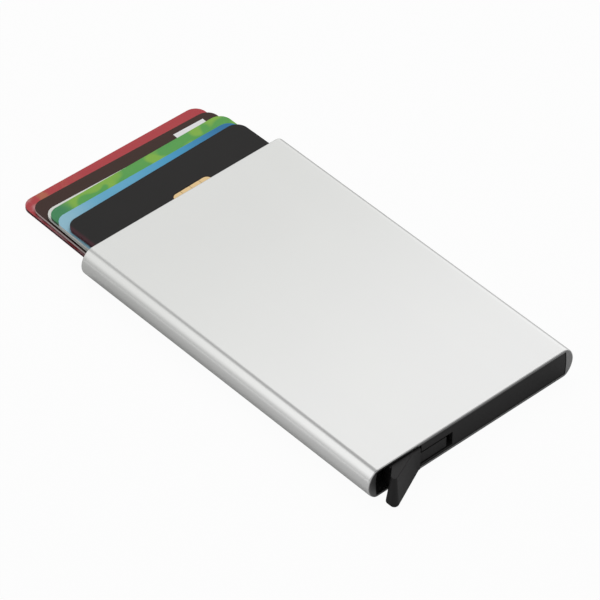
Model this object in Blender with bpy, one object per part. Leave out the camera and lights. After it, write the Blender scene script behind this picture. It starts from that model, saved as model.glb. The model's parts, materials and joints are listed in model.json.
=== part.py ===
# A pop up card holder: an aluminium sleeve, a black end plug with a lever in it, and a fan of six cards.
# Metres, +Z up. X runs across the case and Y along it. The lever is at the -Y end, the card mouth at +Y.
import math

import bmesh
import bpy
from mathutils import Vector

# Cards, to the usual bank card size
card_length = 0.0856
card_width = 0.05398
card_thickness = 0.00076
card_corner = 0.00318
card_gap = 0.00019
chip_length = 0.0126
chip_width = 0.0114
chip_thickness = 0.0002
chip_corner = 0.0015
chip_from_edge = 0.0095
chip_off_centre = 0.0031
chip_clearance = 0.0001
chip_bond = 0.00005

# How far each card stands out of the mouth, from the lowest card up
red_overhang = 0.0275
dark_overhang = 0.0241
white_overhang = 0.0195
green_overhang = 0.0187
blue_overhang = 0.0147
black_overhang = 0.0117

# The cards lie a little askew: how much of the play at the sides each one's turn and shift take up
turn_shares = {
    "red_card": -0.360,
    "dark_card": -0.699,
    "white_card": -0.740,
    "green_card": -0.088,
    "blue_card": -0.246,
    "black_card": 0.342,
}
shift_shares = {
    "red_card": -0.198,
    "dark_card": -0.290,
    "white_card": -0.250,
    "green_card": 0.256,
    "blue_card": -0.372,
    "black_card": 0.432,
}
card_side_gap = 0.0001

# Sleeve walls, and the felt strips that grip the cards near the mouth
flat_wall = 0.0007
side_wall = 0.00235
corner_wall = 0.00045
side_play = 0.00196
side_bulge = 0.0021
end_chamfer = 0.00015
near_side_round = 0.0006
near_flat_round = 0.0005
near_round_depth = 0.0006
near_round_steps = 3
mouth_recess = 0.0016
strip_thickness = 0.0003
strip_length = 0.008
strip_side_gap = 0.00275
strip_from_mouth = 0.003
glue_line = 0.0001

# End plug
plug_depth = 0.0095
plug_fit = 0.00015
plug_recess = 0.0001
plug_wall = 0.0012
plug_floor = 0.0005
cover_thickness = 0.0005
cover_gap = 0.0001
card_seat_gap = 0.0003
pocket_gap = 0.0008
pocket_setback = 0.0005
window_past_pivot = 0.0043
window_height = 0.00375

# Lever, measured from the left end of the flat top and from the near end of the sleeve
pivot_inset = 0.019
pin_radius = 0.001
pin_clearance = 0.00015
pin_chamfer = 0.0002
hub_radius = 0.0031
hub_wall_gap = 0.0002
hub_clearance = 0.0005
lever_play = 0.0002
lever_swing = math.radians(70)
arm_face = 0.0022
arm_tail = 0.0022
arm_tip_width = 0.0019
arm_tip_gap = 0.0003
arm_side_gap = 0.0007
neck_height = 0.00335
neck_spread = math.radians(28)
neck_trim = math.radians(1)
fin_clearance = 0.00035
fin_root = 0.0131
fin_root_lap = 0.00023
fin_back = 0.0039
fin_tip = 0.0025
fin_nose = 0.0006
fin_proud = 0.0056
fin_nose_proud = 0.0053
fin_hook_proud = 0.0027
fin_head_root = 0.0114
fin_head_back = 0.0046
fin_head_tip = 0.0032
fin_head_nose = 0.0020
fin_head_proud = 0.00415
fin_inner_depth = 0.0024
fin_inner_step = 0.0009
fin_top_gap = 0.00015
fin_ground_gap = 0.00025
fin_standoff = 0.0003
fin_round = 0.0004
web_inset = 0.0001

# Cutters run past what they cut by this much
overrun = 0.002

# Smoothness
arc_steps = 8
round_steps = 32

# Colours
ALUMINIUM = (0.74, 0.75, 0.76)
PLASTIC = (0.02, 0.02, 0.022)
STEEL = (0.55, 0.55, 0.56)
FELT = (0.05, 0.05, 0.05)
RED = (0.43, 0.045, 0.055)
DARK = (0.065, 0.033, 0.031)
WHITE = (0.68, 0.68, 0.64)
GREEN = (0.12, 0.36, 0.07)
BLUE = (0.09, 0.38, 0.62)
BLACK = (0.03, 0.028, 0.027)
GOLD = (0.73, 0.51, 0.22)

# Each card's name, overhang and colour, from the lowest up
CARDS = [
    ("red_card", red_overhang, RED),
    ("dark_card", dark_overhang, DARK),
    ("white_card", white_overhang, WHITE),
    ("green_card", green_overhang, GREEN),
    ("blue_card", blue_overhang, BLUE),
    ("black_card", black_overhang, BLACK),
]

# Sizes that follow from the ones above
card_pitch = card_thickness + card_gap
strip_stack = glue_line + strip_thickness
case_thickness = 2 * (flat_wall + strip_stack) + len(CARDS) * card_pitch + card_gap
case_length = plug_depth + card_seat_gap + card_length + mouth_recess
cavity_half = card_width / 2 + side_play
case_half = cavity_half + side_wall
flat_half = case_half - side_bulge
cavity_flat_half = flat_half - corner_wall
mid_height = case_thickness / 2
first_card = flat_wall + strip_stack + card_gap
pivot_depth = plug_recess + plug_wall + hub_wall_gap + hub_radius
pocket_width = fin_root + pocket_gap
pocket_depth = pivot_depth - pocket_setback
window_end = pivot_inset + window_past_pivot

# The fin's root swings round outside a rim, and the plug's lugs over and under the hub keep inside it
rim_radius = math.hypot(pivot_depth, pivot_inset - fin_root) - fin_root_lap
lug_radius = rim_radius - fin_clearance

# The origin is below the middle of the whole object, so the ends of the sleeve follow from its reach
overall_length = fin_proud + case_length + red_overhang
near_end = fin_proud - overall_length / 2
mouth = near_end + case_length
pivot = Vector((pivot_inset - flat_half, near_end + pivot_depth, 0))
plug_bottom = flat_wall + plug_fit
plug_top = case_thickness - plug_bottom
floor_top = plug_bottom + plug_floor
cover_bottom = plug_top - cover_thickness
wall_back = near_end + plug_recess + plug_wall
plug_back = near_end + plug_depth
lever_bottom = floor_top + lever_play
lever_top = cover_bottom - lever_play


def clear_scene():
    for obj in list(bpy.data.objects):
        bpy.data.objects.remove(obj, do_unlink=True)


def finish(name, colour, roughness, metallic=0.0):
    material = bpy.data.materials.new(name)
    material.use_nodes = True
    shader = material.node_tree.nodes["Principled BSDF"]
    shader.inputs["Base Color"].default_value = (*colour, 1.0)
    shader.inputs["Roughness"].default_value = roughness
    shader.inputs["Metallic"].default_value = metallic
    return material


def new_object(name, mesh, material=None):
    obj = bpy.data.objects.new(name, mesh)
    bpy.context.scene.collection.objects.link(obj)
    if material:
        mesh.materials.append(material)
    return obj


def loft(name, loops, material=None, closed=False):
    # Joins rings of points into a skin. The ends are capped, or the last ring meets the first.
    work = bmesh.new()
    rings = [[work.verts.new(point) for point in loop] for loop in loops]
    pairs = list(zip(rings, rings[1:]))
    if closed:
        pairs.append((rings[-1], rings[0]))
    else:
        work.faces.new(rings[0])
        work.faces.new(rings[-1])
    for one, other in pairs:
        for i in range(len(one)):
            j = (i + 1) % len(one)
            work.faces.new((one[i], one[j], other[j], other[i]))
    bmesh.ops.recalc_face_normals(work, faces=work.faces)
    mesh = bpy.data.meshes.new(name)
    work.to_mesh(mesh)
    work.free()
    return new_object(name, mesh, material)


def prism(name, outline, low, high, material=None):
    # An outline in X and Y, raised from one height to another
    return loft(name, [[(x, y, z) for x, y in outline] for z in (low, high)], material)


def block(name, low, high, material=None):
    outline = [(low[0], low[1]), (high[0], low[1]), (high[0], high[1]), (low[0], high[1])]
    return prism(name, outline, low[2], high[2], material)


def combine(obj, tool, operation="DIFFERENCE"):
    # The tool stays in the file as a hidden guide
    modifier = obj.modifiers.new(tool.name, "BOOLEAN")
    modifier.operation = operation
    modifier.solver = "EXACT"
    modifier.object = tool
    tool.hide_render = True
    tool.display_type = "WIRE"
    return obj


def arc(centre, radius, start, end, steps):
    turn = (end - start) / steps
    return [
        (centre[0] + radius * math.cos(start + i * turn), centre[1] + radius * math.sin(start + i * turn))
        for i in range(steps + 1)
    ]


def sleeve_profile(half_flat, half_mid, half_height):
    # Flat top and bottom, and sides that bulge as arcs, as points in X and Z
    bulge = half_mid - half_flat
    radius = (half_height**2 + bulge**2) / (2 * bulge)
    reach = math.asin(half_height / radius)
    side = half_mid - radius
    right = arc((side, mid_height), radius, -reach, reach, arc_steps)
    left = arc((-side, mid_height), radius, math.pi - reach, math.pi + reach, arc_steps)
    return right + left


def inner_profile(gap):
    return sleeve_profile(cavity_flat_half - gap, cavity_half - gap, mid_height - flat_wall - gap)


def rounded_rectangle(width, length, corner):
    x, y = width / 2 - corner, length / 2 - corner
    centres = [(x, y), (-x, y), (-x, -y), (x, -y)]
    quarter = math.pi / 2
    points = []
    for i, centre in enumerate(centres):
        points += arc(centre, corner, i * quarter, (i + 1) * quarter, arc_steps)
    return points


def shade_round(obj):
    obj.data.shade_smooth()
    obj.data.set_sharp_from_angle(angle=math.radians(35))


def outer_ring(side_drop, flat_drop, y):
    # The sleeve's outside at one place along it, drawn in at the sides and at the flat walls
    profile = sleeve_profile(flat_half - side_drop, case_half - side_drop, mid_height - flat_drop)
    return [(x, y, z) for x, z in profile]


def near_ring(turn):
    # The near end is rounded over, more at the sides than at the thin flat walls
    drop = 1 - math.cos(turn)
    y = near_end + near_round_depth * (1 - math.sin(turn))
    return outer_ring(near_side_round * drop, near_flat_round * drop, y)


def make_shell():
    # An extruded sleeve, open at both ends, with the edges of its mouth broken
    inner = inner_profile(0)
    loops = [
        outer_ring(0, 0, mouth - end_chamfer),
        outer_ring(end_chamfer, end_chamfer, mouth),
        [(x, mouth, z) for x, z in inner],
        [(x, near_end, z) for x, z in inner],
    ]
    for i in range(near_round_steps, -1, -1):
        loops.append(near_ring(math.pi / 2 * i / near_round_steps))
    shell = loft("shell", loops, finish("satin_aluminium", ALUMINIUM, 0.35, 1.0), closed=True)
    shade_round(shell)


def plug_body(name, front, material=None):
    # A block that fills the sleeve's inside, back from the given front
    profile = inner_profile(plug_fit)
    return loft(name, [[(x, y, z) for x, z in profile] for y in (front, plug_back)], material)


def cover_outline(grow):
    # Over the left block, and round the pivot as far as the lug goes
    radius = lug_radius + grow
    front = wall_back - pivot.y + cover_gap - grow
    start = math.asin(front / radius)
    back = plug_back - pivot.y + grow * overrun / cover_gap
    end = math.asin(min(1, back / radius))
    lug = [(pivot.x + x, pivot.y + y) for x, y in arc((0, 0), radius, start, end, arc_steps)]
    pocket_x = pocket_width - flat_half + cover_gap - grow
    pocket_y = near_end + pocket_depth + cover_gap - grow
    left = -case_half
    lug += [(left, pivot.y + back), (left, pocket_y), (pocket_x, pocket_y)]
    return lug + [(pocket_x, pivot.y + front)]


def make_plug(plastic):
    plug = plug_body("end_plug", near_end + plug_recess, plastic)
    left = -case_half
    front = near_end - overrun
    back = plug_back + overrun
    arm_reach = pivot.x + arm_length(0) + arm_side_gap

    # The pocket that the fin closes over, open to the left and to the full height
    pocket_x = pocket_width - flat_half
    pocket = block("pocket_cut", (left, front, 0), (pocket_x, near_end + pocket_depth, case_thickness))
    combine(plug, pocket)

    # The window that lets the neck swing to the right
    window_low = (pocket_x - overrun, front, floor_top)
    window_high = (window_end - flat_half, wall_back + overrun, floor_top + window_height)
    combine(plug, block("window_cut", window_low, window_high))

    # The room for the hub and the arm, between the floor and the cover
    hub_room = hub_radius + hub_clearance
    room_low = (pivot.x - hub_room, wall_back, floor_top)
    combine(plug, block("arm_room_cut", room_low, (arm_reach, back, case_thickness)))
    neck_low = (pocket_x - overrun, wall_back, floor_top)
    neck_high = (pivot.x, near_end + pocket_depth, case_thickness)
    combine(plug, block("neck_room_cut", neck_low, neck_high))

    # Past the lug the arm sweeps the full height of the cards
    start = math.asin((wall_back - pivot.y) / lug_radius)
    end = math.pi - math.acos(hub_room / lug_radius)
    sweep = [(pivot.x + x, pivot.y + y) for x, y in arc((0, 0), lug_radius, start, end, round_steps // 2)]
    sweep += [(pivot.x - hub_room, back), (arm_reach, back), (arm_reach, wall_back)]
    combine(plug, prism("arm_sweep_cut", sweep, 0, case_thickness))

    # The seat for the cover, and the pin's hole
    seat = prism("cover_seat_cut", cover_outline(cover_gap), cover_bottom - cover_gap, case_thickness)
    combine(plug, seat)
    combine(plug, pin_hole("plug_pin_cut"))
    shade_round(plug)


def make_cover(plastic):
    # Closes the lever's room from above and holds the top of the pin
    cover = prism("plug_cover", cover_outline(0), cover_bottom, case_thickness, plastic)
    combine(cover, plug_body("cover_trim", near_end), "INTERSECT")
    combine(cover, pin_hole("cover_pin_cut"))
    shade_round(cover)


def pin_hole(name):
    return prism(name, circle(pin_radius + pin_clearance), -overrun, case_thickness + overrun)


def circle(radius):
    return [(pivot.x + x, pivot.y + y) for x, y in arc((0, 0), radius, 0, math.tau, round_steps)[:-1]]


def make_pin():
    low, high = plug_bottom + plug_fit, plug_top - plug_fit
    stations = [
        (pin_radius - pin_chamfer, low),
        (pin_radius, low + pin_chamfer),
        (pin_radius, high - pin_chamfer),
        (pin_radius - pin_chamfer, high),
    ]
    loops = [[(x, y, z) for x, y in circle(radius)] for radius, z in stations]
    shade_round(loft("pivot_pin", loops, finish("steel_pin", STEEL, 0.3, 1.0)))


def side_room(index):
    # How far a card can move sideways before its edge meets the curved side of the sleeve
    low = first_card + index * card_pitch - mid_height
    far = max(abs(low), abs(low + card_thickness))
    half_height = mid_height - flat_wall
    bulge = cavity_half - cavity_flat_half
    radius = (half_height**2 + bulge**2) / (2 * bulge)
    half = cavity_half - radius + math.sqrt(radius**2 - far**2)
    return half - card_width / 2 - card_side_gap


def card_place(index):
    # A card's sideways shift, its middle along the case, and its turn
    name, overhang, _ = CARDS[index]
    room = side_room(index)
    turn = math.asin(turn_shares[name] * room / (card_length / 2 - card_corner))
    return shift_shares[name] * room, mouth + overhang - card_length / 2, turn


def low_edge(index):
    # Where a card's inner short edge lies, halfway from the pivot to the middle of the case
    shift, middle, turn = card_place(index)
    return middle - card_length / 2 / math.cos(turn) + (pivot.x / 2 - shift) * math.tan(turn)


def arm_length(index):
    # Each step of the arm, at full swing, comes just up to its card's inner edge
    reach = low_edge(index) - arm_tip_gap - pivot.y - arm_face * math.cos(lever_swing)
    return reach / math.sin(lever_swing)


def make_arm(name):
    # Steps in a side view, cut to a tapered bar in plan: the lower the card, the longer its step
    root = lug_radius + 2 * arm_tip_gap
    low, high = lever_bottom + web_inset, lever_top - web_inset
    side = [(0, high), (0, low), (root, low), (root, first_card - card_gap / 2)]
    for index in range(len(CARDS)):
        step = first_card - card_gap / 2 + index * card_pitch
        side += [(arm_length(index), step), (arm_length(index), step + card_pitch)]
    side += [(root, side[-1][1]), (root, high)]
    steps = [[(pivot.x + x, y, z) for x, z in side] for y in (pivot.y - arm_tail, pivot.y + arm_face)]
    arm = loft(name, steps)
    tip = arm_length(0) + overrun
    bar = [(-overrun, -arm_tail), (tip, arm_face - arm_tip_width), (tip, arm_face), (-overrun, arm_face)]
    bar = [(pivot.x + x, pivot.y + y) for x, y in bar]
    return combine(arm, prism("arm_taper", bar, 0, case_thickness), "INTERSECT")


def make_lever(plastic):
    # Seen from above: the fin at the left outside, the neck through the window, the hub, the stepped arm
    left = -flat_half
    root_y = near_end - fin_standoff
    lean = math.atan2(pivot_depth, pivot_inset - fin_root)

    # The hub carries the arm and the neck
    lever = prism("lever", circle(hub_radius), lever_bottom, lever_top, plastic)
    combine(lever, make_arm("lever_arm"), "UNION")
    low, high = math.pi + lean - neck_spread, math.pi + lean
    neck = [(0, 0)] + arc((0, 0), rim_radius + fin_standoff, low + neck_trim, high - neck_trim, arc_steps)
    neck = [(pivot.x + x, pivot.y + y) for x, y in neck]
    neck_low = lever_bottom + 2 * web_inset
    combine(lever, prism("lever_neck", neck, neck_low, lever_bottom + neck_height), "UNION")

    # Inside the sleeve the fin's root keeps outside the rim that the window's lintel needs
    root = [(pivot.x + x, pivot.y + y) for x, y in arc((0, 0), rim_radius, high, low, arc_steps)]
    back = left + fin_back
    root += [(back + fin_inner_step, near_end + fin_inner_depth), (back, root_y - fin_standoff)]
    root += [(left + fin_root - web_inset, root_y - fin_standoff)]
    root_low = flat_wall + fin_top_gap
    root_high = case_thickness - root_low
    combine(lever, prism("fin_root", root, root_low, root_high - web_inset), "UNION")

    # Outside it, the fin's foot stands wider and further out than its head, just above the ground
    foot = [
        (fin_root, fin_standoff),
        (fin_back, fin_standoff),
        (fin_nose, fin_hook_proud),
        (fin_nose, fin_nose_proud),
        (fin_tip, fin_proud),
    ]
    head = [
        (fin_head_root, fin_standoff),
        (fin_head_back, fin_standoff),
        (fin_head_nose, fin_hook_proud),
        (fin_head_nose, fin_head_proud),
        (fin_head_tip, fin_head_proud),
    ]
    foot = [(left + x, near_end - proud, fin_ground_gap) for x, proud in foot]
    head = [(left + x, near_end - proud, root_high) for x, proud in head]
    fin = loft("lever_fin", [foot, head])
    soften = fin.modifiers.new("soft_edges", "BEVEL")
    soften.width = fin_round
    soften.segments = 2
    combine(lever, fin, "UNION")
    combine(lever, pin_hole("lever_pin_cut"))
    shade_round(lever)


def make_strips():
    # Felt glued inside the mouth, above and below the cards
    felt = finish("felt", FELT, 0.95)
    half = cavity_flat_half - strip_side_gap
    back = mouth - strip_from_mouth
    low = flat_wall + glue_line
    high = case_thickness - low - strip_thickness
    for name, z in (("lower_felt_strip", low), ("upper_felt_strip", high)):
        block(name, (-half, back - strip_length, z), (half, back, z + strip_thickness), felt)


def make_card(index):
    name, _, colour = CARDS[index]
    shift, middle, turn = card_place(index)
    outline = rounded_rectangle(card_width, card_length, card_corner)
    card = prism(name, outline, 0, card_thickness, finish(name, colour, 0.35))
    card.location = (shift, middle, first_card + index * card_pitch)
    card.rotation_euler.z = turn
    shade_round(card)
    return card


def make_chip(card):
    # The contact plate sits in a milled recess near the short edge that shows, and turns with the card
    along = card_length / 2 - chip_from_edge - chip_length / 2
    turn = card.rotation_euler.z
    x = chip_off_centre * math.cos(turn) - along * math.sin(turn)
    y = chip_off_centre * math.sin(turn) + along * math.cos(turn)
    gap = 2 * chip_clearance
    grown = rounded_rectangle(chip_width + gap, chip_length + gap, chip_corner)
    depth = card_thickness - chip_thickness - chip_bond
    recess = prism("chip_recess_cut", grown, depth, card_thickness + overrun)
    recess.location = card.location + Vector((x, y, 0))
    recess.rotation_euler.z = turn
    combine(card, recess)
    outline = rounded_rectangle(chip_width, chip_length, chip_corner)
    chip = prism("chip_contacts", outline, 0, chip_thickness, finish("gold_contacts", GOLD, 0.3, 1.0))
    chip.location = card.location + Vector((x, y, card_thickness - chip_thickness))
    chip.rotation_euler.z = turn
    shade_round(chip)


clear_scene()
black_plastic = finish("black_plastic", PLASTIC, 0.45)
make_shell()
make_plug(black_plastic)
make_cover(black_plastic)
make_pin()
make_lever(black_plastic)
make_strips()
cards = [make_card(index) for index in range(len(CARDS))]
make_chip(cards[-1])
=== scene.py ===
# %% [markdown]
# # A pop up card holder, modelled and finished in Blender
# A pop up card holder is a flat aluminium sleeve for six bank cards. A black plug closes one short
# end and holds a lever, and the cards come out of the other end in steps, like a fan.
# Its solids were made in a CAD script, so they come in first, as a fixed frame. Every new piece is
# modelled at the place of a solid, takes over from it, and moves with the body it belongs to.
# %% Load the frame
import json
import math

import bmesh
import bpy
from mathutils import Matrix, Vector

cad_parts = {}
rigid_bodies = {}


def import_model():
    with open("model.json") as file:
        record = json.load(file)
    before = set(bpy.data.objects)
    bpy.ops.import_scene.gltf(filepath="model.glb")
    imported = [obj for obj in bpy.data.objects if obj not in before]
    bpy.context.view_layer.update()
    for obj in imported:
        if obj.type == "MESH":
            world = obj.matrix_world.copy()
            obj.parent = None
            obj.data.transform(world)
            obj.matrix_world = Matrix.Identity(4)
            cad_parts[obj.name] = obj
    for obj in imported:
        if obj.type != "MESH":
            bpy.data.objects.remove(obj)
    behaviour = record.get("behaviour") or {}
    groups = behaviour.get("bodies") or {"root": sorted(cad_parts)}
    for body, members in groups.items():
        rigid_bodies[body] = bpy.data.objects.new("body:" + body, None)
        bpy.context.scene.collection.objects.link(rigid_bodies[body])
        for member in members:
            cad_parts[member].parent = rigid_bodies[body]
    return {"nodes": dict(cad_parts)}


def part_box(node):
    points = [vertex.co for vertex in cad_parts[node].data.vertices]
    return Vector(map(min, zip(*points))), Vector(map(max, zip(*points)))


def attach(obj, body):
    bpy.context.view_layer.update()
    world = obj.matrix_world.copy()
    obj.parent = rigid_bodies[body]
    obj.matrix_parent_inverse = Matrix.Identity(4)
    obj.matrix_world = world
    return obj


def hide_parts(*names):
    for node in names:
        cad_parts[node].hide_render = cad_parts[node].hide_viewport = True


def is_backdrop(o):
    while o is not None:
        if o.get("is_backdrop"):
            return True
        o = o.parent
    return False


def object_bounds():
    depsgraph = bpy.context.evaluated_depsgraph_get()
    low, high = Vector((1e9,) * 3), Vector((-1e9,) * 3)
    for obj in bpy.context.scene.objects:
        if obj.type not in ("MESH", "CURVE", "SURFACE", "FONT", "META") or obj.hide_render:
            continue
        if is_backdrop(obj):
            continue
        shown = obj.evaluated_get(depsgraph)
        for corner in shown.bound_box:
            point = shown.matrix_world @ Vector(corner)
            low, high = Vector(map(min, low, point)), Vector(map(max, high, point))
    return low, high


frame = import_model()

cad_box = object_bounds()


def in_mm(lengths, digits=2):
    return [round(1000 * length, digits) for length in lengths]


print("CAD box in mm:", [in_mm(corner) for corner in cad_box])

# %% [markdown]
# ## Camera
# The photograph was taken from the lever's end, above the left side, with a long lens. Its angles
# were found by fitting the sleeve's long and short edges, whose lengths follow from the bank cards.
# A long lens far away keeps the edges nearly parallel, as in most product pictures.
# %% Camera
view_azimuth = math.radians(-41.93)
view_elevation = math.radians(42.776)
view_distance = 1.1187
view_target = Vector((0.00132, -0.00097, 0))
picture_width = 600
focal_length_in_pixels = 4900
sensor_width = 36

towards_camera = Vector((
    math.sin(view_azimuth) * math.cos(view_elevation),
    -math.cos(view_azimuth) * math.cos(view_elevation),
    math.sin(view_elevation),
))
bpy.ops.object.camera_add(location=view_target + towards_camera * view_distance)
camera = bpy.context.object
camera.name = "camera"
camera.rotation_euler = (-towards_camera).to_track_quat("-Z", "Y").to_euler()
camera.data.sensor_width = sensor_width
camera.data.lens = sensor_width * focal_length_in_pixels / picture_width
bpy.context.scene.camera = camera
bpy.context.scene.view_settings.view_transform = "Standard"
print("Lens:", round(camera.data.lens), "mm, at", round(view_distance, 3), "m")

# %% [markdown]
# ## Shader maths as Python
# A finish is a small net of nodes. Wiring it by hand in a script takes many lines, so a class holds
# a node's output and lets it be added, multiplied and compared like a number. Each sum then becomes
# a Math node. One more method makes any other node from its type, its settings and its sockets.
# %% Shader maths
class Wire:
    # A node's output that can stand in a Python expression
    def __init__(self, finish, socket):
        self.finish = finish
        self.socket = socket

    def maths(self, operation, *values):
        return self.finish.node("ShaderNodeMath", {"operation": operation}, dict(enumerate(values)))

    def __add__(self, other):
        return self.maths("ADD", self, other)

    def __radd__(self, other):
        return self.maths("ADD", other, self)

    def __sub__(self, other):
        return self.maths("SUBTRACT", self, other)

    def __rsub__(self, other):
        return self.maths("SUBTRACT", other, self)

    def __mul__(self, other):
        return self.maths("MULTIPLY", self, other)

    def __rmul__(self, other):
        return self.maths("MULTIPLY", other, self)

    def __gt__(self, other):
        return self.maths("GREATER_THAN", self, other)

    def __lt__(self, other):
        return self.maths("LESS_THAN", self, other)

    def __abs__(self):
        return self.maths("ABSOLUTE", self)

    def or_more(self, other):
        return self.maths("MAXIMUM", self, other)


# %% A finish and its nodes
class Finish:
    # A material whose nodes are made from Python values
    def __init__(self, owner, name):
        self.owner = owner.new(name)
        self.owner.use_nodes = True
        self.nodes = self.owner.node_tree.nodes
        self.links = self.owner.node_tree.links

    def node(self, kind, settings=None, sockets=None, output=0):
        made = self.nodes.new(kind)
        for name, value in (settings or {}).items():
            setattr(made, name, value)
        for name, value in (sockets or {}).items():
            self.feed(made.inputs[name], value)
        return Wire(self, made.outputs[output])

    def feed(self, socket, value):
        if isinstance(value, Wire):
            self.links.new(value.socket, socket)
        else:
            socket.default_value = value

    def surface(self, **sockets):
        # Feeds the Principled shader. A socket's name is written with _ for a space.
        shader = self.nodes["Principled BSDF"]
        for name, value in sockets.items():
            self.feed(shader.inputs[name.replace("_", " ")], value)
        return self.owner

    def place(self, centre=(0, 0, 0), turn=0):
        # Where a point lies on its piece, from a centre and turned with it
        spot = self.node("ShaderNodeTexCoord", output="Object")
        sockets = {"Vector": spot, "Location": centre, "Rotation": (0, 0, turn)}
        return self.node("ShaderNodeMapping", {"vector_type": "TEXTURE"}, sockets)

    def along(self, spot, axis):
        return self.node("ShaderNodeSeparateXYZ", sockets={"Vector": spot}, output=axis)

    def stretched(self, spot, factors):
        return self.node("ShaderNodeVectorMath", {"operation": "MULTIPLY"}, {0: spot, 1: factors})

    def noise(self, spot, size, detail=2.0, distortion=0.0):
        # Soft random values whose patches are about this size in metres
        sockets = {"Vector": spot, "Scale": 1 / size, "Detail": detail, "Distortion": distortion}
        return self.node("ShaderNodeTexNoise", sockets=sockets)

    def ramp(self, value, low, high):
        # 0 below low, 1 above high and a soft slope between them
        settings = {"interpolation_type": "SMOOTHSTEP"}
        sockets = {"Value": value, "From Min": low, "From Max": high}
        return self.node("ShaderNodeMapRange", settings, sockets)

    def blend(self, share, one, other):
        sockets = {0: share, 6: one, 7: other}
        return self.node("ShaderNodeMix", {"data_type": "RGBA"}, sockets, output=2)

    def bump(self, height, depth):
        # Small unevenness whose full depth is given in metres
        return self.node("ShaderNodeBump", sockets={"Distance": depth, "Height": height})


def colour(red, green, blue):
    return (red, green, blue, 1)


print("A finish can now be written as sums of", Wire.__name__, "values")

# %% [markdown]
# ## Floor and background
# The photograph shows the holder on pure white. More light would bleach the pale metal, so the
# white is a glow that only camera, mirror and glass rays see. Under it the floor is a plain pale
# surface, which keeps a soft shadow. In mirrors the glow is weak close to the holder, where a real
# floor lies in its shade, and grows with the distance. The floor is a hair below the sleeve's
# underside, because two faces in one plane would flicker.
# %% Floor
floor_size = 4
floor_drop = 0.00005
floor_shade = 0.5
paper_grain = 0.002
paper_play = 0.01
shown_to_camera = 0.96
mirrored_close_by = 0.15
mirrored_far_away = 0.8
object_half_width, object_half_length = 0.031, 0.065
close_by, far_away = 0.02, 0.08

bpy.ops.object.select_all(action="DESELECT")
bpy.ops.mesh.primitive_plane_add(size=floor_size, location=(0, 0, -floor_drop))
floor = bpy.context.object
floor.name = "floor"
floor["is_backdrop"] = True


def backdrop_share(finish, camera_share, mirror_share):
    rays = [finish.node("ShaderNodeLightPath", output=f"Is {kind} Ray")
            for kind in ("Camera", "Glossy", "Transmission")]
    return rays[0] * camera_share + (rays[1] + rays[2]) * mirror_share


paper = Finish(bpy.data.materials, "floor_paper")
tooth = paper.noise(paper.place(), paper_grain)
darker, lighter = (colour(*3 * [floor_shade + step]) for step in (-paper_play, paper_play))
grey = paper.blend(tooth, darker, lighter)
matt = paper.node("ShaderNodeBsdfDiffuse", sockets={"Color": grey})
glow = paper.node("ShaderNodeEmission", sockets={"Color": colour(1, 1, 1), "Strength": 1.0})
sides = [abs(paper.along(paper.place(), axis)) for axis in "XY"]
clear_of_object = (sides[0] - object_half_width).or_more(sides[1] - object_half_length)
away = paper.ramp(clear_of_object, close_by, far_away)
mirrored = mirrored_close_by + (mirrored_far_away - mirrored_close_by) * away
share = backdrop_share(paper, shown_to_camera, mirrored)
mixed = paper.node("ShaderNodeMixShader", sockets={0: share, 1: matt, 2: glow})
paper.feed(paper.nodes["Material Output"].inputs["Surface"], mixed)
floor.data.materials.append(paper.owner)
print("Floor:", floor_size, "m square")

# %% [markdown]
# ## Sky and lamp
# One wide lamp and an even sky light the object so that a colour renders about as it is written.
# Metal shows its surroundings, so what it mirrors counts for as much as the lamp. A studio is dark
# straight above and on the camera's side, and its walls fade towards the left, and these make the
# soft dark lines along rounded edges. Only mirror rays see them. The lamp itself is hidden from
# mirrors, or each rounded edge would carry a hard bright line.
# %% Sky and lamp
sky_light = 0.5
mirrored_sky = 1.16
horizon_light = 0.5
horizon_top = 0.45
overhead_gap = 0.8
overhead_from, overhead_to = 0.78, 0.85
front_gap = 0.4
front_from, front_to = -0.1, 0.25
wall_fade = 0.3
lamp_size = 1.4
lamp_height = 1.1
lamp_place = Vector((0.6, 0.65, lamp_height))
lamp_power = 15

sky = Finish(bpy.data.worlds, "studio_sky")
bpy.context.scene.world = sky.owner
direction = sky.node("ShaderNodeTexCoord", output="Generated")
height = sky.ramp(sky.along(direction, "Z"), 0, horizon_top)
leftward = 1 - sky.ramp(sky.along(direction, "X"), -wall_fade, wall_fade)
brightness = 1 - (1 - horizon_light) * (1 - height) * leftward
strength = (sky_light + (1 - sky_light) * backdrop_share(sky, 1, mirrored_sky)) * brightness
overhead = overhead_gap * sky.ramp(sky.along(direction, "Z"), overhead_from, overhead_to)
in_front = front_gap * (1 - sky.ramp(sky.along(direction, "Y"), front_from, front_to))
strength = strength * (1 - overhead.or_more(in_front) * backdrop_share(sky, 0, 1))
for name, value in (("Color", colour(1, 1, 1)), ("Strength", strength)):
    sky.feed(sky.nodes["Background"].inputs[name], value)

bpy.ops.object.light_add(type="AREA", location=lamp_place)
lamp = bpy.context.object
lamp.name = "soft_lamp"
lamp.data.shape = "SQUARE"
lamp.data.size = lamp_size
lamp.data.energy = lamp_power
lamp.visible_glossy = False
lamp.rotation_euler = (-lamp_place).to_track_quat("-Z", "Y").to_euler()
print("Sky at", sky_light, "and a lamp of", lamp_power, "W")

# %% [markdown]
# ## Working on one piece at a time
# An operator acts on all that is selected, and the frame comes in selected. So each step first
# deselects everything and takes up one piece. Inside edit mode, what by hand would be a click is a
# test here: the vertices, edges or faces whose place or direction passes the test are selected.
# %% Take up a piece and pick parts of it
same_place = 1e-6
facing = 0.9


def take_up(piece):
    if bpy.context.mode != "OBJECT":
        bpy.ops.object.mode_set(mode="OBJECT")
    bpy.ops.object.select_all(action="DESELECT")
    if piece:
        piece.select_set(True)
        bpy.context.view_layer.objects.active = piece


def open_up(piece):
    take_up(piece)
    bpy.ops.object.mode_set(mode="EDIT")


def middle(part):
    return sum((corner.co for corner in part.verts), Vector()) / len(part.verts)


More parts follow.
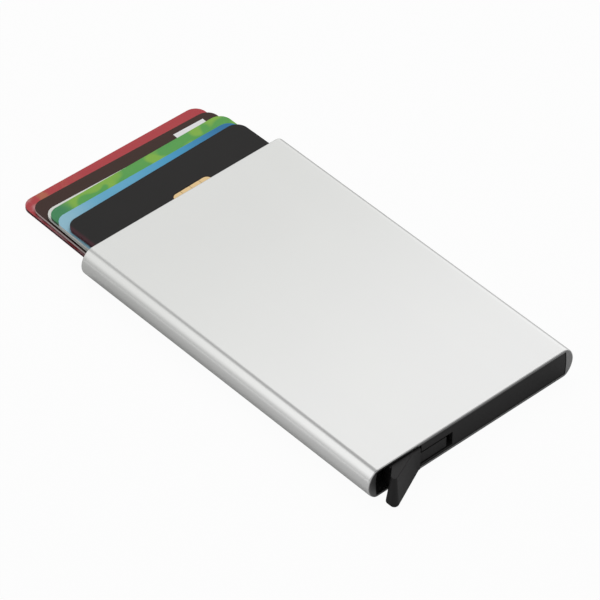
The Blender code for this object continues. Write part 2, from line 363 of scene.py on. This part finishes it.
def pick(piece, kind, wanted):
    # Selects the vertices, edges or faces of the opened piece that pass the test
    bpy.ops.mesh.select_mode(type=kind)
    bpy.ops.mesh.select_all(action="DESELECT")
    work = bmesh.from_edit_mesh(piece.data)
    parts = {"VERT": work.verts, "EDGE": work.edges, "FACE": work.faces}[kind]
    chosen = [part for part in parts if wanted(part)]
    for part in chosen:
        part.select_set(True)
    bmesh.update_edit_mesh(piece.data)


def near(value, wanted):
    return abs(value - wanted) < same_place


# %% Work on all of an opened piece
def select_all():
    bpy.ops.mesh.select_all(action="SELECT")


def extrude(step):
    bpy.ops.mesh.extrude_region_move(TRANSFORM_OT_translate={"value": step})


def face_outwards():
    select_all()
    bpy.ops.mesh.normals_make_consistent(inside=False)


def raise_flat(height):
    # A flat face becomes a closed solid of this height
    select_all()
    extrude((0, 0, height))
    face_outwards()


# %% Start a block, apply a modifier, cut and join
sharp_edge = math.radians(40)
very_sharp_edge = math.radians(50)


def add_block(name, low, high):
    take_up(None)
    low, high = Vector(low), Vector(high)
    bpy.ops.mesh.primitive_cube_add(size=1, location=(low + high) / 2, scale=high - low)
    block = bpy.context.object
    block.name = name
    bpy.ops.object.transform_apply(location=True, rotation=True, scale=True)
    return block


def apply_modifier(piece, kind, **settings):
    take_up(piece)
    bpy.ops.object.modifier_add(type=kind)
    modifier = piece.modifiers[-1]
    for name, value in settings.items():
        setattr(modifier, name, value)
    bpy.ops.object.modifier_apply(modifier=modifier.name)


def carve(piece, tool, operation="DIFFERENCE"):
    apply_modifier(piece, "BOOLEAN", object=tool, operation=operation, solver="EXACT")
    bpy.data.objects.remove(tool, do_unlink=True)


def soften(piece, width, segments=3, angle=sharp_edge):
    # Rounds the edges that are sharper than the angle, and keeps the flats flat in the shading
    apply_modifier(piece, "BEVEL", width=width, segments=segments,
                   limit_method="ANGLE", angle_limit=angle)
    smooth(piece)


def smooth(piece):
    take_up(piece)
    bpy.ops.object.shade_smooth_by_angle(angle=sharp_edge)
    apply_modifier(piece, "WEIGHTED_NORMAL", keep_sharp=True)


def settle(piece, body, slot, material, *nodes):
    # The piece takes over from its CAD nodes and rides on their body
    piece.data.materials.clear()
    piece.data.materials.append(material)
    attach(piece, body)
    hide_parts(*nodes)
    triangles = sum(len(face.vertices) - 2 for face in piece.data.polygons)
    print(f"{piece.name}: {triangles} triangles, rides on {body}")


# %% [markdown]
# ## The sleeve
# The sleeve is an aluminium extrusion, cut to length: flat above and below, with long sides that
# bulge as arcs, and a tighter arc as a shoulder between flat and side. It could be a curve swept
# along the case, but a block whose sides are spun round an axis, one arc after another, gives the
# same shape with the operators at hand. A smaller bar of the same kind, taken away from the first,
# leaves the walls. The rim at the lever's end is then rounded over, more at the thick sides.
# %% A bar with bulged sides
side_steps = 32
shoulder_steps = 8
bar_flatness = math.radians(0.2)


def bulged_bar(name, full_half, lean, shoulder, low, high, front, back):
    # Each side is one arc that starts at the given lean. A shoulder of its own radius leads to it.
    middle_height = (low + high) / 2
    radius = ((high - low) / 2 - shoulder * (1 - math.cos(lean))) / math.cos(lean)
    side_centre = full_half - radius
    flat_half = side_centre + (radius - shoulder) * math.sin(lean)
    bar = add_block(name, (-flat_half, front, low), (flat_half, back, high))
    for side in (1, -1):
        turns = [(side_steps, math.pi - 2 * lean, side_centre, middle_height)]
        if shoulder:
            turns.insert(0, (shoulder_steps, lean, flat_half, low + shoulder))
            turns.append((shoulder_steps, lean, flat_half, high - shoulder))
        open_up(bar)
        pick(bar, "FACE", lambda face: face.normal.x * side > facing)
        bpy.ops.mesh.delete(type="ONLY_FACE")
        pick(bar, "EDGE", lambda edge: near(middle(edge).x, side * flat_half)
             and near(middle(edge).z, low))
        for steps, turn, across, height in turns:
            bpy.ops.mesh.spin(steps=steps, angle=turn, center=(side * across, 0, height),
                              axis=(0, side, 0))
        select_all()
        bpy.ops.mesh.remove_doubles(threshold=same_place)
        bpy.ops.mesh.fill_holes(sides=0)
    face_outwards()
    bpy.ops.mesh.dissolve_limited(angle_limit=bar_flatness)
    take_up(bar)
    print(f"{name}: half flat width and side radius", in_mm([flat_half, radius]), "mm")
    return bar


# %% The sleeve's walls and its rounded near end
sleeve_low, sleeve_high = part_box("shell")
flat_wall = 0.0007
side_wall = 0.00235
side_lean = math.radians(35.5)
shoulder_radius = 0.0021
hollow_lean = math.radians(83.157)
end_round = 0.00015
flat_round = 0.0003
side_round = 0.0006
thinning_slope, thinning_start = 2, 0.8
cutter_overrun = 0.002

near_end, mouth = sleeve_low.y, sleeve_high.y
sleeve_top = sleeve_high.z
mid_height = sleeve_top / 2
sleeve_half = sleeve_high.x
hollow_half = sleeve_half - side_wall

sleeve = bulged_bar("sleeve", sleeve_half, side_lean, shoulder_radius,
                    0, sleeve_top, near_end, mouth)
hollow = bulged_bar("hollow", hollow_half, hollow_lean, 0, flat_wall, sleeve_top - flat_wall,
                    near_end - cutter_overrun, mouth + cutter_overrun)
carve(sleeve, hollow)


def on_near_rim(edge):
    # Both corners are on the outer edge of the near end, where the lever is
    for corner in edge.verts:
        beside = abs(corner.co.x) > hollow_half + end_round
        above = abs(corner.co.z - mid_height) > mid_height - flat_wall / 2
        if not (near(corner.co.y, near_end) and (beside or above)):
            return False
    return True


def rounding(edge):
    # The thin flat walls take less rounding than the thick sides
    height = abs(middle(edge).z - mid_height) / mid_height
    thinned = min(1, max(0, thinning_slope * height - thinning_start))
    return round(1 + thinned * (flat_round / side_round - 1), 3)


open_up(sleeve)
rim = [edge for edge in bmesh.from_edit_mesh(sleeve.data).edges if on_near_rim(edge)]
for share in sorted({rounding(edge) for edge in rim}):
    pick(sleeve, "EDGE", lambda edge: on_near_rim(edge) and rounding(edge) == share)
    bpy.ops.transform.edge_bevelweight(value=share)
apply_modifier(sleeve, "BEVEL", width=side_round, segments=5, limit_method="WEIGHT")
take_up(sleeve)
print("Sleeve walls:", in_mm([flat_wall, side_wall]), "mm")

# %% [markdown]
# ## Satin anodised aluminium
# The metal is blasted to a fine even grain and then anodised, which leaves it pale and silky. Grain
# belongs in a bump that is far smaller than the eye can count. Faint streaks run along the sleeve,
# as it was drawn, and hands leave soft patches. The sawn ends are duller, and painted shade
# makes them darker than the faces.
# Painted shade makes the sleeve a little darker towards the mouth end than at the lever's end.
# %% The sleeve's finish
def satin_aluminium():
    finish = Finish(bpy.data.materials, "anodised_sleeve")
    spot = finish.place()
    grain = finish.noise(spot, 0.00012)
    streaks = finish.noise(finish.stretched(spot, (1, 0.01, 1)), 0.0006)
    patches = finish.noise(spot, 0.02, detail=3)
    fresh = finish.blend(patches, colour(0.81, 0.815, 0.80), colour(0.835, 0.835, 0.835))
    # Painted shade: the colour grows darker along the sleeve towards the mouth end
    painted_mouth_shade = finish.ramp(finish.along(spot, "Y"), near_end, mouth)
    pale = finish.blend(painted_mouth_shade, fresh, colour(0.70, 0.705, 0.69))
    # Painted shade: the sawn ends get a dark grey colour, on top of their real higher roughness
    half_length = (mouth - near_end) / 2
    from_end = half_length - abs(finish.along(spot, "Y") - (near_end + mouth) / 2)
    sawn_end_shade = 1 - finish.ramp(from_end, 0, end_round)
    return finish.surface(
        Base_Color=finish.blend(sawn_end_shade, pale, colour(0.27, 0.27, 0.27)),
        Metallic=1.0,
        Roughness=0.22 + 0.05 * patches + 0.02 * streaks + 0.15 * sawn_end_shade,
        Normal=finish.bump(grain, 0.0000015),
    )


soften(sleeve, end_round / 3, segments=2, angle=very_sharp_edge)
settle(sleeve, "case", "satin_aluminium", satin_aluminium(), "shell")

# %% [markdown]
# ## Black moulded plastic
# The plug, its cover and the lever are moulded in black plastic with a fine satin texture from the
# mould. One finish does for all three. Its black isn't zero: even the darkest plastic gives back a
# little light, and the texture breaks up the gloss.
# %% The plastic's finish
def black_plastic():
    finish = Finish(bpy.data.materials, "moulded_black")
    spot = finish.place()
    texture = finish.noise(spot, 0.00025, detail=3)
    patches = finish.noise(spot, 0.006)
    return finish.surface(
        Base_Color=finish.blend(patches, colour(0.0125, 0.012, 0.0125),
                                colour(0.018, 0.0172, 0.0172)),
        Roughness=0.36 + 0.1 * texture + 0.08 * patches,
        Specular_IOR_Level=0.25,
        Normal=finish.bump(texture, 0.00002),
    )


moulded_black = black_plastic()
print("Finish:", moulded_black.name)

# %% [markdown]
# ## The end plug and its lid
# These mouldings are blocks with many cuts, and the CAD solids already have them all. What they
# lack is the small radius that every moulded edge has. So each is copied, its triangles are merged
# and dissolved into flat faces, and its edges are rounded. The copy takes over from the solid.
# %% Round the edges of a copied solid
moulded_round = 0.00012
copy_flatness = math.radians(0.5)


def rounded_copy(node, name):
    take_up(frame["nodes"][node])
    bpy.ops.object.duplicate()
    copy = bpy.context.object
    bpy.ops.object.parent_clear(type="CLEAR")
    for key in list(copy.keys()):
        del copy[key]
    copy.name = name
    open_up(copy)
    select_all()
    bpy.ops.mesh.remove_doubles(threshold=same_place)
    bpy.ops.mesh.dissolve_limited(angle_limit=copy_flatness)
    soften(copy, moulded_round)
    return copy


for node, name in (("end_plug", "plug"), ("plug_cover", "plug_lid")):
    settle(rounded_copy(node, name), "case", "black_plastic", moulded_black, node)

# %% [markdown]
# ## The lever
# The lever is one moulding with a fin to push, a neck, a hub on the pin and a stepped arm. It is
# easiest to model as six plain bodies that are then joined. An outline is drawn by extruding one
# vertex from point to point, then filled and raised. The arm is a block whose end face is
# extruded again and again, each time with one step fewer. Beside the neck a shutter fills the
# window almost flush, to keep dust out. Its right end leaves the room that its corner needs to
# swing.
# %% Draw an outline and raise it
def outline_solid(name, points, low, high):
    take_up(None)
    points = [Vector((x, y, low)) for x, y in points]
    # A plane merged into one vertex is the start of the outline
    bpy.ops.mesh.primitive_plane_add(size=1)
    solid = bpy.context.object
    solid.name = name
    open_up(solid)
    bpy.ops.mesh.select_mode(type="VERT")
    select_all()
    bpy.ops.mesh.merge(type="CENTER")
    bpy.ops.transform.translate(value=points[0])
    for here, there in zip(points, points[1:]):
        extrude(there - here)
    ends = points[0], points[-1]
    pick(solid, "VERT", lambda corner: min((corner.co - end).length for end in ends) < same_place)
    bpy.ops.mesh.edge_face_add()
    select_all()
    bpy.ops.mesh.edge_face_add()
    raise_flat(high - low)
    take_up(solid)
    return solid


# %% Arcs and circles round the pin
pin_low, pin_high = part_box("pivot_pin")
pivot = (pin_low + pin_high) / 2
print("Pivot at", in_mm(pivot), "mm")


def round_points(radius, start, end, steps):
    angles = [start + (end - start) * step / steps for step in range(steps + 1)]
    return [(pivot.x + radius * math.cos(angle), pivot.y + radius * math.sin(angle))
            for angle in angles]


def circle(radius, steps):
    return round_points(radius, 0, math.tau, steps)[:-1]


# %% The hub and the stepped arm
lever_bottom = 0.00155
lever_top = 0.00654
hub_radius = 0.0031
hub_steps = 64
lug_reach = 0.0075
arm_face = 0.0022
arm_tail = 0.0022
arm_tip_width = 0.0019
first_step = 0.001195
step_height = 0.00095
step_lengths = [0.03546, 0.03190, 0.02701, 0.02604, 0.02181, 0.01847]
web_inset = 0.0001


def stepped_arm():
    front, back = pivot.y - arm_tail, pivot.y + arm_face
    tops = [first_step + step_height * (index + 1) for index in range(len(step_lengths))]
    arm = add_block("steps", (pivot.x + lug_reach, front, first_step),
                    (pivot.x + step_lengths[-1], back, tops[-1]))
    open_up(arm)
    for top in tops[:-1]:
        select_all()
        bpy.ops.mesh.bisect(plane_co=(0, 0, top), plane_no=(0, 0, 1))
    for index in range(len(step_lengths) - 2, -1, -1):
        here, there = step_lengths[index + 1], step_lengths[index]
        pick(arm, "FACE", lambda face: near(middle(face).x, pivot.x + here)
             and middle(face).z < tops[index])
        extrude((there - here, 0, 0))
    inner = add_block("inner_arm", (pivot.x, front, lever_bottom + web_inset),
                      (pivot.x + lug_reach + web_inset, back, lever_top - web_inset))
    carve(arm, inner, "UNION")
    tip = step_lengths[0] + cutter_overrun
    plan = [(-cutter_overrun, -arm_tail), (tip, arm_face - arm_tip_width),
            (tip, arm_face), (-cutter_overrun, arm_face)]
    plan = [(pivot.x + x, pivot.y + y) for x, y in plan]
    carve(arm, outline_solid("taper", plan, 0, sleeve_top), "INTERSECT")
    return arm


lever = outline_solid("fan_lever", circle(hub_radius, hub_steps), lever_bottom, lever_top)
carve(lever, stepped_arm(), "UNION")
print("Arm steps in mm:", in_mm(step_lengths, 1))

# %% The neck
side_bulge = 0.0021
fin_root = 0.0131
fin_standoff = 0.0003
neck_height = 0.00335
neck_spread = math.radians(28)
neck_trim = math.radians(1)
neck_steps = 8
rim_radius = 0.0072513
left_edge = side_bulge - sleeve_half
lean = math.atan2(pivot.y - near_end, pivot.x - left_edge - fin_root)

neck_from, neck_to = math.pi + lean - neck_spread, math.pi + lean
neck_plan = [(pivot.x, pivot.y)]
neck_plan += round_points(rim_radius + fin_standoff, neck_from + neck_trim, neck_to - neck_trim,
                          neck_steps)
neck = outline_solid("neck", neck_plan, lever_bottom + 2 * web_inset, lever_bottom + neck_height)
print("Neck spread:", round(math.degrees(neck_spread)), "degrees")

# %% The shutter
shutter_depth = 0.0003
shutter_reach = 0.0026
shutter_top = 0.0045

shutter_front = near_end + shutter_depth
shutter_left = pivot.x - (pivot.y - shutter_front) / math.tan(lean - 2 * neck_trim)
shutter_plan = [
    (pivot.x, pivot.y),
    (shutter_left, shutter_front),
    (pivot.x + shutter_reach, shutter_front),
    (pivot.x + hub_radius - web_inset, pivot.y - web_inset),
]
shutter = outline_solid("shutter", shutter_plan, lever_bottom + web_inset / 2, shutter_top)
print("Shutter's left and right ends:", in_mm([shutter_left, pivot.x + shutter_reach]), "mm")

# %% The root of the fin
fin_back = 0.0039
fin_inner_step = 0.0009
fin_inner_depth = 0.0024
root_steps = 12
root_gap = 0.00015
root_low = flat_wall + root_gap
root_high = sleeve_top - root_low
root_front = near_end - 2 * fin_standoff

root_plan = round_points(rim_radius, neck_to, neck_from, root_steps) + [
    (left_edge + fin_back + fin_inner_step, near_end + fin_inner_depth),
    (left_edge + fin_back, root_front),
    (left_edge + fin_root - web_inset, root_front),
]
root = outline_solid("root", root_plan, root_low, root_high - web_inset)
print("Root's lower and upper faces:", in_mm([root_low, root_high - web_inset]), "mm")

# %% The fin, whose head is narrower than its foot
fin_nose = (0.0017, 0.0044, 0.0012)
fin_head_nose = (0.0027, 0.0034, 0.0006)
fin_hook_proud = 0.0027
fin_head_root = 0.0114
fin_head_back = 0.0046
fin_foot = 0.00025
nose_from, nose_turn, nose_steps = 180, 115, 8


def nose_arc(x, proud, radius):
    # Points along a round nose: how far across the case, and how far proud of its near end
    angles = [math.radians(nose_from - nose_turn * step / nose_steps)
              for step in range(nose_steps + 1)]
    return [(x + radius * math.cos(angle), proud + radius * math.sin(angle)) for angle in angles]


fin_outline = [(fin_root, fin_standoff), (fin_back, fin_standoff),
               (fin_nose[0] - fin_nose[2], fin_hook_proud)] + nose_arc(*fin_nose)
head_outline = [(fin_head_root, fin_standoff), (fin_head_back, fin_standoff),
                (fin_head_nose[0] - fin_head_nose[2], fin_hook_proud)] + nose_arc(*fin_head_nose)
fin_plan = [(left_edge + x, near_end - proud) for x, proud in fin_outline]
fin = outline_solid("fin", fin_plan, fin_foot, root_high)
open_up(fin)
for (x, proud), (head_x, head_proud) in zip(fin_outline, head_outline):
    corner_place = Vector((left_edge + x, near_end - proud, root_high))
    pick(fin, "VERT", lambda corner: (corner.co - corner_place).length < same_place)
    bpy.ops.transform.translate(value=(head_x - x, proud - head_proud, 0))
print("Foot and head stand proud by",
      in_mm([max(proud for _, proud in plan) for plan in (fin_outline, head_outline)]), "mm")

# %% Round the fin's edges as far as the finger needs
corner_round = 0.0005
foot_round = 0.0005
head_round = 0.0002
corner_bend = math.radians(30)
clear_of_case = near_end - 1.1 * fin_standoff

pick(fin, "EDGE", lambda edge: abs(edge.verts[0].co.z - edge.verts[1].co.z) > mid_height
     and middle(edge).y < root_front
     and edge.calc_face_angle(0) > corner_bend)
bpy.ops.mesh.bevel(offset=corner_round, segments=4, affect="EDGES")
for level, width, segments in ((fin_foot, foot_round, 5), (root_high, head_round, 3)):
    pick(fin, "EDGE", lambda edge: all(near(corner.co.z, level) for corner in edge.verts)
         and middle(edge).y < clear_of_case)
    bpy.ops.mesh.bevel(offset=width, segments=segments, affect="EDGES")
take_up(fin)
print("Fin:", len(fin.data.polygons), "faces")

# %% Join the lever and bore the hole for its pin
pin_hole_radius = 0.00115
pin_hole_steps = 48

for body in (neck, shutter, root, fin):
    carve(lever, body, "UNION")
pin_hole = outline_solid("pin_hole", circle(pin_hole_radius, pin_hole_steps), 0, sleeve_top)
carve(lever, pin_hole)
soften(lever, moulded_round, angle=very_sharp_edge)
settle(lever, "lever", "black_plastic", moulded_black, "lever")

# %% [markdown]
# ## The cards
# A bank card is a sandwich of plastic sheets: a core, a printed sheet on each side, and a clear
# film over the print, punched out with rounded corners. One blank card is modelled and copied six
# times. A plane whose four corners are bevelled gives the outline, and extruding it gives the
# thickness.
# %% A rounded plate and a blank card
card_length = 0.0856
card_width = 0.05398
card_thickness = 0.00076
card_corner = 0.00318
card_edge_round = 0.00005
plate_corner_steps = 12


def rounded_plate(name, width, length, corner, low, high, centre=(0, 0)):
    take_up(None)
    bpy.ops.mesh.primitive_plane_add(size=1, location=(*centre, low))
    plate = bpy.context.object
    plate.name = name
    plate.scale = (width, length, 1)
    bpy.ops.object.transform_apply(location=True, rotation=True, scale=True)
    open_up(plate)
    select_all()
    bpy.ops.mesh.bevel(offset=corner, segments=plate_corner_steps, affect="VERTICES")
    raise_flat(high - low)
    take_up(plate)
    return plate


blank = rounded_plate("blank_card", card_width, card_length, card_corner,
                      -card_thickness / 2, card_thickness / 2)
print("Blank card:", len(blank.data.polygons), "faces")

# %% [markdown]
# ## The chip's contacts
# The contact plate is gold on a thin board, set in a pocket milled in the card. Fine gaps part the
# gold into four contacts at each end and one field between them. The gaps are real: the plate's
# face is bisected into fields, each field is inset, and the fields are raised.
# %% Contact plate and its pocket
chip_length = 0.0126
chip_width = 0.0114
chip_thickness = 0.0002
chip_corner = 0.0015
chip_off_middle = 0.0031
chip_from_end = 0.0095
chip_centre = (chip_off_middle, card_length / 2 - chip_from_end - chip_length / 2)
pocket_gap = 0.0001
pad_gap = 0.00011
pad_height = 0.00003
pad_row = 0.0030
pad_columns = (-0.25, 0, 0.25)
middle_field = 0.3


def contact_plate():
    top = card_thickness / 2
    plate = rounded_plate("contact_plate", chip_width, chip_length, chip_corner,
                          top - chip_thickness, top - pad_height, chip_centre)
    lines = [((chip_centre[0] + share * chip_width, 0, 0), (1, 0, 0)) for share in pad_columns]
    lines += [((0, chip_centre[1] + side * pad_row, 0), (0, 1, 0)) for side in (-1, 1)]
    open_up(plate)
    for point, normal in lines:
        select_all()
        bpy.ops.mesh.bisect(plane_co=point, plane_no=normal)
    pick(plate, "EDGE", lambda edge: near(middle(edge).z, top - pad_height)
         and abs(middle(edge).y - chip_centre[1]) < pad_row / 2
         and abs(middle(edge).x - chip_centre[0]) < middle_field * chip_width)
    bpy.ops.mesh.dissolve_edges()
    pick(plate, "FACE", lambda face: face.normal.z > facing)
    bpy.ops.mesh.inset(thickness=pad_gap, depth=0, use_individual=True)
    bpy.ops.transform.translate(value=(0, 0, pad_height))
    take_up(plate)
    return plate


pocket_floor = card_thickness / 2 - chip_thickness - pocket_gap / 2
pocket = rounded_plate("chip_pocket", chip_width + 2 * pocket_gap, chip_length + 2 * pocket_gap,
                       chip_corner, pocket_floor, card_thickness, chip_centre)
print("Chip pocket at", in_mm(chip_centre, 1), "mm on the card")

# %% [markdown]
# ## Card prints
# Each card has plain graded colours in place of a bank's design. The core is a different colour
# from the print, so it shows as a thin line along each cut edge. The backs have the usual dark
# magnetic stripe and a pale strip to sign. The pattern is laid out in the card's own directions,
# which a Mapping node turns to suit the way the card lies.
# %% One recipe for all the prints
film_roughness = 0.3
core_share = 0.72
core_fade = 0.1
stripe_from, stripe_to = 0.0095, 0.0222
panel_from, panel_to = -0.006, 0.004
panel_half_length = 0.032


def print_finish(name, centre, turn, design, core):
    finish = Finish(bpy.data.materials, name)
    spot = finish.place(centre, turn)
    across, along, height = (finish.along(spot, axis) for axis in "XYZ")
    face = design(finish, spot, across, along)
    back = height < 0.0
    stripe = (across > stripe_from) * (across < stripe_to)
    panel = (across > panel_from) * (across < panel_to) * (abs(along) < panel_half_length)
    face = finish.blend(back * stripe, face, colour(0.02, 0.014, 0.011))
    face = finish.blend(back * panel, face, colour(0.72, 0.71, 0.66))
    inside = 1 - finish.ramp(abs(height), core_share * card_thickness / 2,
                             (core_share + core_fade) * card_thickness / 2)
    wear = finish.noise(spot, 0.004, detail=4)
    scuffs = finish.noise(finish.stretched(spot, (1, 0.12, 1)), 0.0007)
    return finish.surface(
        Base_Color=finish.blend(inside, face, core),
        Roughness=film_roughness - 0.04 + 0.1 * wear + 0.06 * scuffs + 0.2 * inside,
        Specular_IOR_Level=0.2,
        Normal=finish.bump(wear + 0.3 * scuffs, 0.000006),
    )


def plain(finish, spot, size, one, other):
    return finish.blend(finish.noise(spot, size, detail=2), one, other)


# %% The six designs
# Places across and along a card are in metres from its middle
label_from, label_to = 0.0145, 0.0235
label_starts_before_end, label_stops_before_end = 0.0085, 0.0018


def red_design(finish, spot, across, along):
    main = plain(finish, spot, 0.012, colour(0.37, 0.036, 0.050), colour(0.41, 0.050, 0.052))
    left = 1 - finish.ramp(across, -0.022, -0.007)
    blotch = finish.ramp(finish.noise(spot, 0.004, detail=3), 0.42, 0.62)
    corner = 1 - finish.ramp(across, -0.026, -0.0225)
    faded = finish.blend(corner, colour(0.40, 0.115, 0.065), colour(0.50, 0.24, 0.26))
    return finish.blend(left * blotch, main, faded)


def dark_design(finish, spot, across, along):
    main = plain(finish, spot, 0.01, colour(0.030, 0.015, 0.008), colour(0.041, 0.013, 0.011))
    label = (across > label_from) * (across < label_to)
    label = label * (along > card_length / 2 - label_starts_before_end)
    label = label * (along < card_length / 2 - label_stops_before_end)
    return finish.blend(label, main, colour(0.74, 0.73, 0.74))


def white_design(finish, spot, across, along):
    return plain(finish, spot, 0.006, colour(0.64, 0.66, 0.62), colour(0.72, 0.72, 0.69))


def green_design(finish, spot, across, along):
    main = plain(finish, spot, 0.009, colour(0.065, 0.30, 0.075), colour(0.11, 0.33, 0.065))
    patches = finish.ramp(finish.noise(spot, 0.007, detail=1, distortion=0.6), 0.52, 0.64)
    main = finish.blend(patches, main, colour(0.20, 0.40, 0.055))
    corner = 1 - finish.ramp(across, -0.0235, -0.0195)
    return finish.blend(corner, main, colour(0.045, 0.21, 0.085))


def blue_design(finish, spot, across, along):
    left = finish.blend(finish.ramp(across, -0.026, -0.012),
                        colour(0.26, 0.47, 0.58), colour(0.115, 0.37, 0.55))
    right = finish.blend(finish.ramp(across, 0.006, 0.026),
                         colour(0.055, 0.30, 0.51), colour(0.022, 0.15, 0.33))
    return finish.blend(finish.ramp(across, -0.008, 0.010), left, right)


def black_design(finish, spot, across, along):
    main = plain(finish, spot, 0.01, colour(0.0055, 0.005, 0.005), colour(0.007, 0.006, 0.0055))
    border = 1 - finish.ramp(across, 0.0003 - card_width / 2, 0.0012 - card_width / 2)
    return finish.blend(border, main, colour(0.038, 0.007, 0.012))


# %% Lay the cards in the sleeve
cards = {
    "red": (-0.8978, red_design, colour(0.055, 0.012, 0.02)),
    "dark": (-1.8218, dark_design, colour(0.68, 0.56, 0.55)),
    "white": (-1.9769, white_design, colour(0.60, 0.62, 0.58)),
    "green": (-0.235, green_design, colour(0.04, 0.10, 0.06)),
    "blue": (-0.641, blue_design, colour(0.76, 0.78, 0.74)),
    "black": (0.8529, black_design, colour(0.09, 0.02, 0.03)),
}


def lay(piece, centre, turn):
    take_up(piece)
    piece.location = centre
    piece.rotation_euler.z = turn
    bpy.ops.object.transform_apply(location=True, rotation=True, scale=True)


def card_middle(node):
    low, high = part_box(node)
    return (low + high) / 2


for kind, (turn, design, core) in cards.items():
    node = kind + "_card"
    take_up(blank)
    bpy.ops.object.duplicate()
    card = bpy.context.object
    card.name = "card_" + kind
    if kind == "black":
        carve(card, pocket)
    soften(card, card_edge_round, segments=2)
    centre, turn = card_middle(node), math.radians(turn)
    lay(card, centre, turn)
    card_print = print_finish(kind + "_print", centre, turn, design, core)
    settle(card, node, kind + "_print", card_print, node)
bpy.data.objects.remove(blank, do_unlink=True)

# %% The contact plate and its gold
gap_floor = 0.6


def gold_contacts():
    finish = Finish(bpy.data.materials, "chip_gold")
    spot = finish.place(card_middle("black_card"), math.radians(cards["black"][0]))
    tone = finish.noise(spot, 0.0015, detail=3)
    gap = finish.along(spot, "Z") < card_thickness / 2 - gap_floor * pad_height
    gold = finish.blend(tone, colour(0.72, 0.50, 0.24), colour(0.80, 0.60, 0.34))
    return finish.surface(
        Base_Color=finish.blend(gap, gold, colour(0.10, 0.055, 0.025)),
        Metallic=1 - 0.7 * gap,
        Roughness=0.26 + 0.12 * tone + 0.3 * gap,
        Normal=finish.bump(finish.noise(spot, 0.0002), 0.000004),
    )


contacts = contact_plate()
lay(contacts, card_middle("black_card"), math.radians(cards["black"][0]))
smooth(contacts)
settle(contacts, "black_card", "gold_contacts", gold_contacts(), "chip_contacts")

# %% [markdown]
# ## Felt strips and pin
# Two thin felt strips inside the mouth press on the cards, so that they don't fall out. Felt has no
# flat faces, so the strip is a fine grid, raised to its thickness and then roughened at random. The
# pin is a plain ground dowel, whose CAD shape is right, so it only gets a better finish.
# %% Felt
fibre_lift = 0.00003
fibres_across, fibres_along = 160, 26


def felt_finish():
    finish = Finish(bpy.data.materials, "pressed_felt")
    spot = finish.place()
    fibres = finish.noise(spot, 0.00035, detail=5, distortion=1.5)
    tone = finish.noise(spot, 0.002, detail=2)
    return finish.surface(
        Base_Color=finish.blend(fibres, colour(0.022, 0.022, 0.024), colour(0.075, 0.075, 0.078)),
        Roughness=0.9 + 0.08 * tone,
        Specular_IOR_Level=0.15,
        Normal=finish.bump(fibres, 0.00012),
    )


def felt_strip(name, node):
    low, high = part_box(node)
    take_up(None)
    bpy.ops.mesh.primitive_grid_add(x_subdivisions=fibres_across, y_subdivisions=fibres_along,
                                    size=1)
    strip = bpy.context.object
    strip.name = name
    strip.scale = (high.x - low.x - 2 * fibre_lift, high.y - low.y - 2 * fibre_lift, 1)
    strip.location = ((low.x + high.x) / 2, (low.y + high.y) / 2, low.z + fibre_lift)
    bpy.ops.object.transform_apply(location=True, rotation=True, scale=True)
    open_up(strip)
    raise_flat(high.z - low.z - 2 * fibre_lift)
    bpy.ops.transform.vertex_random(offset=fibre_lift, seed=7)
    take_up(strip)
    bpy.ops.object.shade_smooth()
    return strip


felt = felt_finish()
for name, node in (("felt_low", "lower_felt_strip"), ("felt_high", "upper_felt_strip")):
    settle(felt_strip(name, node), "case", "felt", felt, node)


# %% Ground steel
def ground_steel():
    finish = Finish(bpy.data.materials, "ground_dowel")
    spot = finish.place()
    rings = finish.noise(finish.stretched(spot, (0.05, 0.05, 1)), 0.00008)
    tone = finish.noise(spot, 0.001)
    return finish.surface(
        Base_Color=finish.blend(tone, colour(0.52, 0.52, 0.53), colour(0.60, 0.60, 0.61)),
        Metallic=1.0,
        Roughness=0.2 + 0.15 * rings,
        Normal=finish.bump(rings, 0.000003),
    )


frame["nodes"]["pivot_pin"].material_slots[0].material = ground_steel()
print("Pin finished")

# %% [markdown]
# ## Last step
# The size of the dressed model is printed, to set beside the size of the solids.
# %% Finish
dressed_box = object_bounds()
print("Visual box in mm:", [in_mm(corner) for corner in dressed_box])
